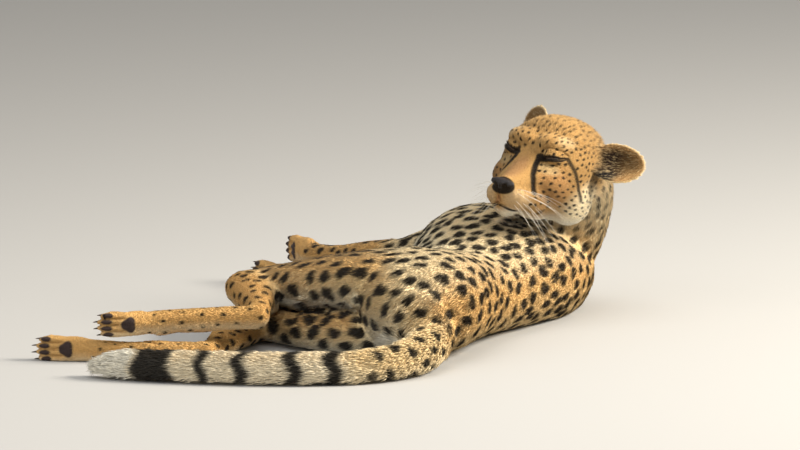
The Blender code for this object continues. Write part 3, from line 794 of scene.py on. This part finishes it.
# Where spots may be: not on the white belly, the ears, the front of the face or its dark lines.
spot_weight = np.clip(smooth(-0.62, -0.3, dorsal) + is_leg + is_tail + is_neck * 0.9, 0, 1)
muzzle_patch = patch((95, 0, -20), (45, 50, 50))
spot_weight *= 1 - np.clip(muzzle_patch + patch((60, 0, 20), (30, 20, 30)), 0, 1)
spot_weight *= 1 - is_ear
spot_weight *= 1 - 0.75 * is_paw
for (name, sign), line in LINES.items():
    if name in ("lid", "tear", "cheek"):
        spot_weight *= smooth(0.0065, 0.008, gap_to(line, points)[0])

# Spots are seated in a random order, each where it comes too near no other.
TRIES = 90000.0  # random seats to the square metre
CELL = 0.03  # side of the boxes in which near spots are looked for
LONGWAYS = 0.36  # spots stand further apart along the coat than across it
owner, corners = sample(np.full(len(points), TRIES), rng)
order = rng.permutation(len(owner))
owner, corners = owner[order], corners[order]
seat = carried(skin, owner, corners)
gauge = carried(fields, owner, corners)
chance = carried(spot_weight, owner, corners)
seat_normal = unit(carried(skin_normals, owner, corners))
seat_flow = unit(carried(flow, owner, corners))
roll = rng.random(len(owner))
reach = gauge[:, SPACING] / 1000 * (0.8 + 0.2 * roll)
chosen = []
grid = {}
for i in range(len(owner)):
    if chance[i] < 0.35 + 0.3 * roll[i]:
        continue
    cell = tuple(np.floor(seat[i] / CELL).astype(int))
    near = [j for a in (-1, 0, 1) for b in (-1, 0, 1) for c in (-1, 0, 1)
            for j in grid.get((cell[0] + a, cell[1] + b, cell[2] + c), ())]
    if near:
        away = seat[near] - seat[i]
        d = np.sqrt((away ** 2).sum(axis=1) - LONGWAYS * (away @ seat_flow[i]) ** 2)
        if (d < reach[i]).any():
            continue
    grid.setdefault(cell, []).append(i)
    chosen.append(i)
SPOT = {
    "at": seat[chosen].astype(np.float32),
    "along": seat_flow[chosen],
    "normal": seat_normal[chosen],
    "half": gauge[chosen][:, HALVES] / 1000 * rng.uniform(0.78, 1.18, (len(chosen), 2)),
    "wave": rng.uniform(0, 2 * math.pi, (len(chosen), 3)),
    "turn": rng.normal(0, 0.2, len(chosen)),
}
WAVES = ((2, 0.1), (3, 0.09), (5, 0.06))  # waves round a spot's edge, and how high they are

TAIL_ARC = np.concatenate([[0], np.cumsum(norm(np.diff(TAIL, axis=0), axis=1))])
# Dark rings of the tail: where each starts and ends, in metres from the tip. Above them are spots.
RINGS = ((0.07, 0.128), (0.166, 0.184), (0.228, 0.247), (0.3, 0.322), (0.362, 0.386))
RING_SOFT = 0.003
SPOTTED_FROM, SPOTTED_FULL = 0.4, 0.43

# Dark lines of the face: metres from the line at which black starts and is full, how much the line
# tapers to its end, and how strong it is.
DARK_LINES = {
    "lid": (0.0074, 0.006, 0.004, 1),
    "tear": (0.0058, 0.0044, 0, 1),
    "cheek": (0.0046, 0.003, 0, 0.92),
    "mouth": (0.0032, 0.0018, 0, 1),
    "philtrum": (0.0016, 0.0008, 0, 1),
}


def tail_place(p):
    """How far each point lies from the tail's tip, along it."""
    gaps, along = [], []
    for a, b, start, end in zip(TAIL, TAIL[1:], TAIL_ARC, TAIL_ARC[1:]):
        t = np.clip((p - a) @ (b - a) / ((b - a) @ (b - a)), 0, 1)
        gaps.append(norm(p - (a + t[:, None] * (b - a)), axis=1))
        along.append(start + t * (end - start))
    return TAIL_ARC[-1] - np.choose(np.argmin(gaps, axis=0), along)


def spots_at(p, batch=6000):
    """How black the nearest spot makes each point."""
    black = np.zeros(len(p))
    centres = SPOT["at"]
    square = (centres ** 2).sum(axis=1)
    p32 = p.astype(np.float32)
    for start in range(0, len(p), batch):
        part = p32[start:start + batch]
        nearest = (square[None] - 2 * part @ centres.T).argmin(axis=1)
        away = part.astype(float) - centres[nearest]
        along, normal = SPOT["along"][nearest], SPOT["normal"][nearest]
        a, b = (away * along).sum(axis=1), (away * np.cross(normal, along)).sum(axis=1)
        turn = SPOT["turn"][nearest]
        a, b = a * np.cos(turn) + b * np.sin(turn), b * np.cos(turn) - a * np.sin(turn)
        angle = np.arctan2(b, a)
        edge = 1 + sum(high * np.sin(number * angle + SPOT["wave"][nearest][:, k])
                       for k, (number, high) in enumerate(WAVES))
        half = SPOT["half"][nearest]
        r = np.sqrt((a / half[:, 0]) ** 2 + (b / half[:, 1]) ** 2) / edge
        black[start:start + batch] = smooth(1.07, 0.93, r)
    return black


def tail_marks(p, spots):
    """How black, and how white, the tail is at each point."""
    s = tail_place(p)
    wobbly = s + (0.004 * np.sin(p[:, 2] * 160 + p[:, 1] * 70) + 0.003 * np.sin(p[:, 1] * 210 + 1.3))
    rings = np.zeros(len(p))
    for low, high in RINGS:
        from_low = smooth(low - RING_SOFT, low + RING_SOFT, wobbly)
        rings = np.maximum(rings, from_low * smooth(high + RING_SOFT, high - RING_SOFT, wobbly))
    black = np.maximum(rings, spots * smooth(SPOTTED_FROM, SPOTTED_FULL, s))
    return black, smooth(0.068, 0.058, wobbly) * 0.9 + 0.35 * smooth(0.42, 0.36, s)


def face_marks(p):
    """How black the lines of the face, and the skin round the nose, are at each point."""
    away = (to_head(p) - to_head(nose) + (0, 0, 0.002)) / (0.015, 0.0205, 0.013)
    dark = smooth(1.1, 0.95, norm(away, axis=1))
    for (name, _), line in LINES.items():
        if name in DARK_LINES:
            outer, inner, taper, strength = DARK_LINES[name]
            gap, at = gap_to(line, p)
            dark = np.maximum(dark, strength * smooth(outer, inner, gap + taper * at ** 1.5))
    return dark


def marked(p, ground, tail, head, ear):
    """Colours with all the markings, from the ground colour and the shares of tail, head and ear."""
    black = spots_at(p)
    colours = ground.copy()
    tail_part = tail > 0.5
    if tail_part.any():
        black[tail_part], white = tail_marks(p[tail_part], black[tail_part])
        colours[tail_part] = mixed(colours[tail_part], WHITE, white)
    near_head = head + ear > 0.05
    black[near_head] = np.maximum(black[near_head], face_marks(p[near_head]))
    return mixed(colours, BLACK, black * 0.97)


# ---- materials
def set_inputs(node, **settings):
    """Sets inputs of a node. A space in an input's name is written as an underscore."""
    for setting, value in settings.items():
        node.inputs[setting.replace("_", " ")].default_value = value


def new_material(name, **settings):
    """A material, ways to add nodes to it and to join them, and its shader with these inputs set."""
    material = bpy.data.materials.new(name)
    material.use_nodes = True
    tree = material.node_tree
    shader = tree.nodes["Principled BSDF"]
    set_inputs(shader, **settings)

    def add(kind, **inputs):
        node = tree.nodes.new("ShaderNode" + kind)
        set_inputs(node, **inputs)
        return node

    def join(start, output, end, entry):
        tree.links.new(start.outputs[output], end.inputs[entry])

    return material, add, join, shader


def coat_material(name, grain, uneven, bump_strength, bump_depth, roughness):
    """The coat's colour from the mesh, broken up by fine noise."""
    material, add, join, shader = new_material(
        name, Roughness=roughness, Specular_IOR_Level=0.1, Sheen_Weight=0.05, Sheen_Roughness=0.5)
    colour = add("VertexColor")
    colour.layer_name = "Coat"
    noise = add("TexNoise", Scale=grain, Detail=4)
    ramp = add("MapRange", To_Min=1 - uneven, To_Max=1 + uneven)
    mix = add("VectorMath")
    mix.operation = "SCALE"
    height = add("Bump", Strength=bump_strength, Distance=bump_depth)
    join(add("TexCoord"), "Object", noise, "Vector")
    join(noise, "Fac", ramp, "Value")
    join(colour, "Color", mix, 0)
    join(ramp, "Result", mix, "Scale")
    join(mix, "Vector", shader, "Base Color")
    join(noise, "Fac", height, "Height")
    join(height, "Normal", shader, "Normal")
    return material


def two_toned(name, dark, light, grain, cells=None, **settings):
    """A material between two linear colours, mixed by noise. cells gives it a grain of leather."""
    material, add, join, shader = new_material(name, **settings)
    noise = add("TexNoise", Scale=grain)
    ramp = add("ValToRGB")
    for stop, colour in zip(ramp.color_ramp.elements, (dark, light)):
        stop.color = (*colour, 1)
    join(noise, "Fac", ramp, "Fac")
    join(ramp, "Color", shader, "Base Color")
    if cells:
        leather = add("TexVoronoi", Scale=cells)
        height = add("Bump", Strength=0.6, Distance=0.0004)
        seat = add("TexCoord")
        join(seat, "Object", leather, "Vector")
        join(seat, "Object", noise, "Vector")
        join(leather, "Distance", height, "Height")
        join(height, "Normal", shader, "Normal")
    return material


skin_look = coat_material("skin_look", 420, 0.24, 0.6, 0.0012, 0.72)
fur_look = coat_material("fur_look", 160, 0.16, 0.25, 0.0003, 0.62)
eye_look = two_toned(
    "eye_look", (0.03, 0.012, 0.004), (0.15, 0.06, 0.012), 260,
    Roughness=0.12, Coat_Weight=1.0, Coat_Roughness=0.03)
nose_look = two_toned("nose_look", linear((17, 12, 11)), linear((38, 28, 24)), 360, 900, Roughness=0.5)
whisker_look = two_toned(
    "whisker_look", linear((214, 205, 186)), linear((246, 242, 232)), 300, Roughness=0.35)
claw_look = two_toned("claw_look", linear((44, 36, 31)), linear((92, 78, 64)), 300, Roughness=0.35)
floor_look = two_toned("floor_look", (0.4, 0.39, 0.37), (0.44, 0.43, 0.41), 6, Roughness=0.9)

# ---- the skin as a piece
skin_mesh = mesh_of("skin", skin, faces)
colour_points(skin_mesh, marked(skin, base, is_tail, is_head, is_ear))
skin_obj = piece_of("skin", skin_mesh, skin_look, FLESH)
bpy.context.view_layer.objects.active = skin_obj
skin_obj.select_set(True)
skin_mesh.uv_layers.new(name="OFBake")
bpy.ops.object.mode_set(mode="EDIT")
bpy.ops.mesh.select_all(action="SELECT")
bpy.ops.uv.smart_project(angle_limit=math.radians(75), island_margin=0.002, area_weight=0.0)
bpy.ops.object.mode_set(mode="OBJECT")
uv = np.empty(len(skin_mesh.loops) * 2, np.float32)
skin_mesh.uv_layers["OFBake"].data.foreach_get("uv", uv)
face_uv = uv.reshape(-1, 3, 2)

# ---- the coat
FLOOR = 0.0004  # no tuft goes lower than this
SUNK = 0.0006  # a tuft's foot lies this deep in the skin
MOST_TRIANGLES = 190000  # of one piece
TUFT_PATCH = 0.003  # size of a tuft's patch on the map
PALE_HAIR = (200, 174, 128)  # single hairs in the ears

# Two kinds of tuft: straight ones of 4 points and bent ones of 7. For each its faces, its points on the
# map, and the places along it at which colours are taken: where, how bright, for how many points. The
# brightness is painted shade, darker at the root where the coat shades itself, and a little brighter at
# the tip.
STRAIGHT = {
    "faces": np.array([(0, 2, 1), (0, 1, 3), (0, 3, 2), (1, 2, 3)]),
    "map": np.array([(-0.5, -0.33), (0.5, -0.33), (0.0, 0.0), (0.0, 0.67)]),
    "stations": ((0.15, 0.87, 3), (0.75, 1.05, 1)),
}
BENT = {
    "faces": np.array([(0, 2, 1), (0, 1, 4), (0, 4, 3), (0, 3, 5), (0, 5, 2), (1, 2, 5), (1, 5, 4),
                       (3, 4, 6), (3, 6, 5), (4, 5, 6)]),
    "map": np.array([(-0.5, -0.33), (0.5, -0.33), (0.0, -0.2), (-0.4, 0.1), (0.4, 0.1), (0.0, 0.2),
                     (0.0, 0.67)]),
    "stations": ((0.15, 0.8, 3), (0.5, 1.0, 3), (0.8, 1.06, 1)),
}


def tuft_arrays(root, normal, along, length, width, lift, curl, bent):
    """Points of tufts, as an array of tufts by points by 3."""
    across = unit(np.cross(normal, along))
    half = across * (width / 2)[:, None]
    height = normal * (width * 0.4)[:, None]
    start = root - normal * SUNK
    rising = along * np.cos(lift)[:, None] + normal * np.sin(lift)[:, None]
    if not bent:
        tip = root + rising * length[:, None] + across * (curl * length)[:, None]
        return np.stack([start - half, start + half, start + height + normal * SUNK, tip], 1)
    flat = lift * 0.25
    later = along * np.cos(flat)[:, None] + normal * np.sin(flat)[:, None]
    bend = root + rising * (0.5 * length)[:, None]
    tip = bend + later * (0.5 * length)[:, None] + across * (curl * length)[:, None]
    return np.stack([
        start - half, start + half, start + height,
        bend - half * 0.85 - height * 0.3, bend + half * 0.85 - height * 0.3,
        bend + height * 0.7, tip], 1)


def lay_coat(name, weight, tuft, nodes, seed):
    """Pieces of coat over the part of the skin that the weight picks."""
    chooser = np.random.default_rng(SEED + seed)
    owner, corners = sample(fields[:, CROWD] * 1e6 * weight * cover, chooser)
    count = len(owner)

    def here(values):
        return carried(values, owner, corners)

    normal = unit(here(skin_normals))
    along = here(flow)
    along = unit(along - normal * (along * normal).sum(axis=1, keepdims=True))
    values = here(fields)
    sway = chooser.normal(0, 0.11, count)
    along = unit(along + np.cross(normal, along) * sway[:, None])
    length = values[:, LENGTH] / 1000 * here(length_share) * chooser.uniform(0.75, 1.2, count)
    width = values[:, WIDTH] / 1000 * chooser.uniform(0.75, 1.2, count)
    lift = np.radians((values[:, LIFT] + here(lift_more)) * chooser.uniform(0.4, 1.5, count))
    curl = chooser.normal(0, 0.07, count)
    root = here(skin)
    body = tuft_arrays(root, normal, along, length, width, lift, curl, tuft is BENT)
    body[:, :, 2] = np.maximum(body[:, :, 2], FLOOR + 0.0003 * chooser.random((count, 1)))
    pale = here(ear_inside) * (chooser.random(count) < 0.15)
    ground = mixed(here(base), PALE_HAIR, pale)
    tint = chooser.uniform(0.86, 1.13, count)[:, None]
    shares = [here(v) for v in (is_tail, is_head, is_ear)]
    tone = []
    # painted shade: each tuft's colour is darkened towards its root and lifted a little at its tip
    for at, shade, repeats in tuft["stations"]:
        colours = marked(root + along * (at * length)[:, None], ground, *shares)
        tone += [colours * tint * shade] * repeats
    tone = np.stack(tone, 1)
    seat_uv = (face_uv[owner] * corners[:, :, None]).sum(axis=1)
    per = body.shape[1]
    pieces = math.ceil(count / (MOST_TRIANGLES // len(tuft["faces"])))
    for k in range(pieces):
        part = slice(k * count // pieces, (k + 1) * count // pieces)
        starts = per * np.arange(part.stop - part.start)
        solid = (tuft["faces"][None] + starts[:, None, None]).reshape(-1, 3)
        mesh = mesh_of(f"{name}_{k + 1}", body[part].reshape(-1, 3), solid)
        colour_points(mesh, tone[part].reshape(-1, 3))
        layer = mesh.uv_layers.new(name="OFBake")
        point_uv = (seat_uv[part][:, None] + TUFT_PATCH * tuft["map"][None]).reshape(-1, 2)
        layer.data.foreach_set("uv", point_uv[solid.ravel()].astype(np.float32).ravel())
        piece_of(f"{name}_{k + 1}", mesh, fur_look, nodes)


rear = np.exp(-(norm(points - TAIL[0], axis=1) / 0.065) ** 2) * (1 - is_tail)
lift_more = 12 * crown + 4 * rear + 14 * ear_inside  # degrees

length_share = 1 - 0.45 * smooth(0.075, 0.1, x) * is_head  # muzzle
length_share += 0.8 * smooth(0.0, -0.06, x) * is_head  # cheeks
length_share += 1.0 * smooth(-0.4, -0.9, dorsal) * trunk  # belly
length_share += 0.6 * crown
length_share += 0.6 * rear
length_share += 1.1 * ear_inside
length_share *= 1 - 0.3 * is_paw

# No tufts on what lies on the floor, the nose, the lid and mouth lines, or the pads.
off_floor = skin_normals[:, 2] + 40 * np.maximum(skin[:, 2] - 0.006, 0)
cover = 1.0 * smooth(-0.8, -0.4, off_floor)
not_line = 1 - under_nose
for sign in (1, -1):
    not_line *= smooth(0.0016, 0.0034, gap_to(LINES["lid", sign], points)[0])
    not_line *= smooth(0.001, 0.0024, gap_to(LINES["mouth", sign], points)[0])
on_head, on_tail, on_leg = [smooth(0.45, 0.55, s) for s in (is_head + is_ear, is_tail, is_leg)]
on_body = np.clip(1 - on_head - on_tail - on_leg, 0, 1)
lay_coat("fur_head", on_head * not_line, STRAIGHT, nodes_of("head", "ear"), 1)
lay_coat("fur_tail", on_tail, BENT, nodes_of("tail"), 2)
lay_coat("fur_legs", on_leg * smooth(0.6, 0.3, pads), STRAIGHT, nodes_of("shank", "foot", "paw"), 3)
lay_coat("fur_body", on_body, STRAIGHT, nodes_of("trunk", "rump", "neck"), 4)


# ---- eyes and nose
def ball_mesh(name, centre, radius):
    """A finely faceted ball, as an eyeball."""
    bm = bmesh.new()
    bmesh.ops.create_uvsphere(bm, u_segments=48, v_segments=32, radius=radius)
    bmesh.ops.translate(bm, verts=bm.verts, vec=Vector(centre))
    mesh = bpy.data.meshes.new(name)
    bm.to_mesh(mesh)
    bm.free()
    mesh.shade_smooth()
    return mesh


def nose_mesh():
    """The nose leather, with its two nostrils and the groove between them."""
    p, f = modified(
        *joined(*arrays_of(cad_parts["nose"].data)), "REMESH", mode="VOXEL", voxel_size=0.0007)
    p = Ring(f, len(p)).relax(p, 12, 1.0)

    # It narrows downwards, and is flatter in front and at its top than its solid.
    hx, hy, hz = (to_head(p) - to_head(nose)).T
    wider = 0.34 + 0.94 * smooth(-0.0135, 0.003, hz)
    lower = np.maximum(-hz, 0)
    upper = np.maximum(hz - 0.005, 0)
    ahead = -0.3 * np.maximum(hx, 0) - 0.2 * lower
    change = np.stack([ahead, (wider - 1) * hy, -(0.45 * upper - 0.06 * lower)], 1)
    p = p + HEAD_SCALE * change @ AXES

    # Nostrils with a slit to the side and a wing round it, and the groove.
    hx, hy, hz = (to_head(p) - to_head(nose)).T
    a = np.abs(hy)
    out = a - 0.008
    nostril = bump(out, 0.0034) * bump(hz + 0.002 - 0.45 * out, 0.0024) * smooth(-0.002, 0.003, hx)
    slit = bump(a - 0.0125, 0.0024) * bump(hz + 0.003, 0.0011) * smooth(-0.004, 0.002, hx)
    wing = bump(a - 0.0125, 0.002) * bump(hz - 0.001, 0.004)
    groove = bump(hy, 0.0008) * (hx > 0) * smooth(0.004, -0.002, hz)
    raised = -0.0052 * nostril - 0.0008 * slit - 0.0012 * groove + 0.0005 * wing
    p = p + normals_of(p, f) * raised[:, None] * HEAD_SCALE
    return mesh_of("nose_leather", p, f)


for side, eye in (("left", eye_l), ("right", eye_r)):
    ball = ball_mesh("eyeball_" + side, eye, EYE_R - 0.0002)
    piece_of("eyeball_" + side, ball, eye_look, ["eye_" + side])
piece_of("nose_leather", nose_mesh(), nose_look, ["nose"])

# ---- whiskers and claws
WHISKER_ROWS, WHISKER_COLUMNS = 4, 5
WHISKER_LONG = (0.045, 0.08)
WHISKER_THICK = 0.00035  # half of it, at its root
CLAW_LONG = 0.0145
CLAW_THICK = 0.0031  # half of it, at its root
CLAW_TAPER = 0.45  # below 1 it is blunt
CLAW_BEND = 0.38
CLAW_SUNK = 0.005


def spike(start, way, bend, length, thick, taper, section, count):
    """A closed spike that bends as it goes: count rows of its section, ever smaller, and a tip."""
    rows = [start + (way * t + bend * t * t) * length + thick * (1 - t) ** taper * section
            for t in np.arange(count) / count]
    rows.append((start + (way + bend) * length)[None])
    around = len(section)
    made = [(0, k + 1, k) for k in range(1, around - 1)]
    for row in range(count - 1):
        for c in range(around):
            a, b = around * row + c, around * row + (c + 1) % around
            made += [(a, b, b + around), (a, b + around, a + around)]
    last = around * (count - 1)
    made += [(last + c, last + (c + 1) % around, last + around) for c in range(around)]
    return np.concatenate(rows), np.array(made)


def whiskers():
    """Rows of whiskers on both sides of the muzzle."""
    chooser = np.random.default_rng(SEED + 50)
    turn = np.array((0, 2.094, 4.189))[:, None]
    parts = []
    for sign in (1, -1):
        for row in range(WHISKER_ROWS):
            for column in range(WHISKER_COLUMNS):
                out = (0.022 + 0.0022 * column) * sign
                spot = from_head((0.098 - 0.0085 * column, out, -0.03 - 0.0065 * row))
                start, facing = surface.find_nearest(spot)[:2]
                way = np.array((-0.5, 0.8 * sign, -0.22 - 0.1 * row)) + chooser.normal(0, 0.09, 3)
                towards = unit(unit(from_head(way) - HEAD) + 0.35 * np.array(facing))
                a = unit(np.cross(towards, (0.31, 0.2, 0.93)))
                section = a * np.cos(turn) + np.cross(towards, a) * np.sin(turn)
                length = chooser.uniform(*WHISKER_LONG)
                parts.append(spike(np.array(start) - towards * 0.002, towards, -U * 0.22 - F * 0.12,
                                   length, WHISKER_THICK, 1, section, 8))
    return mesh_of("whiskers", *together(parts))


def claws():
    """A short blunt claw of horn at the tip of each toe."""
    tree = surface_of(skin, faces)
    turn = np.linspace(0, 2 * math.pi, 8, endpoint=False)[:, None]
    parts = []
    for centre, ahead, over, sole, length, half_wide, half_thick in PAW_FRAMES.values():
        section = 0.62 * np.cos(turn) * over + np.sin(turn) * sole
        for k in TOES:
            start = centre + ahead * length * 1.6 + over * half_wide * k - sole * half_thick * 0.2
            hit = tree.ray_cast(Vector(start), Vector(-ahead), length)[0]
            if hit is None:
                continue
            root = np.array(hit) - ahead * CLAW_SUNK
            parts.append(spike(
                root, ahead, sole * CLAW_BEND, CLAW_LONG, CLAW_THICK, CLAW_TAPER, section, 7))
    return mesh_of("claws", *together(parts))


piece_of("whiskers", whiskers(), whisker_look, ["head"])
piece_of("claws", claws(), claw_look, sorted(PAW_FRAMES))


# ---- floor, light and camera
def floor(wide=30.0):
    """A plain floor that reaches out of every view."""
    mesh = bpy.data.meshes.new("floor")
    corners = [(-wide, -wide, 0), (wide, -wide, 0), (wide, wide, 0), (-wide, wide, 0)]
    mesh.from_pydata(corners, [], [(0, 1, 2, 3)])
    obj = placed("floor", mesh)
    mesh.materials.append(floor_look)


def aimed(obj, start, way):
    """Stands a lamp or a camera at its start and turns it."""
    obj.location = start
    obj.rotation_mode = "QUATERNION"
    obj.rotation_quaternion = Vector(way).to_track_quat("-Z", "Y")


def lamp(name, away, size, power, colour):
    """A soft lamp that stands so far away from the heart of the model and points at it."""
    data = bpy.data.lights.new(name, "AREA")
    data.size = size
    data.energy = power
    data.color = colour
    aimed(placed(name, data), heart + away, Vector(heart) - Vector(heart + away))


floor()
heart = (np.array(CAD_BOX[0]) + np.array(CAD_BOX[1])) / 2
lamp("key", (4.3, -0.5, 2.8), 2.0, 560, (1.0, 0.94, 0.84))
lamp("fill", (-2.2, -2.6, 1.8), 3.0, 45, (0.95, 0.97, 1.0))
lamp("top", (0.2, -0.6, 3.0), 2.5, 45, (1.0, 0.98, 0.95))
world = bpy.data.worlds.new("studio")
world.use_nodes = True
set_inputs(world.node_tree.nodes["Background"], Color=(0.86, 0.86, 0.86, 1), Strength=0.45)
scene.world = world

ELEVATION = math.radians(8.5)
AWAY = 14.5
aim = heart + (0.0871, 0.0555, 0.165 - heart[2])
forward = np.array((0, math.cos(ELEVATION), -math.sin(ELEVATION)))
camera_data = bpy.data.cameras.new("camera")
camera_data.sensor_width = 36
camera_data.lens = 409.5
camera_data.clip_end = 100
scene.camera = placed("camera", camera_data)
aimed(scene.camera, aim - forward * AWAY, forward)
scene.view_settings.view_transform = "Standard"
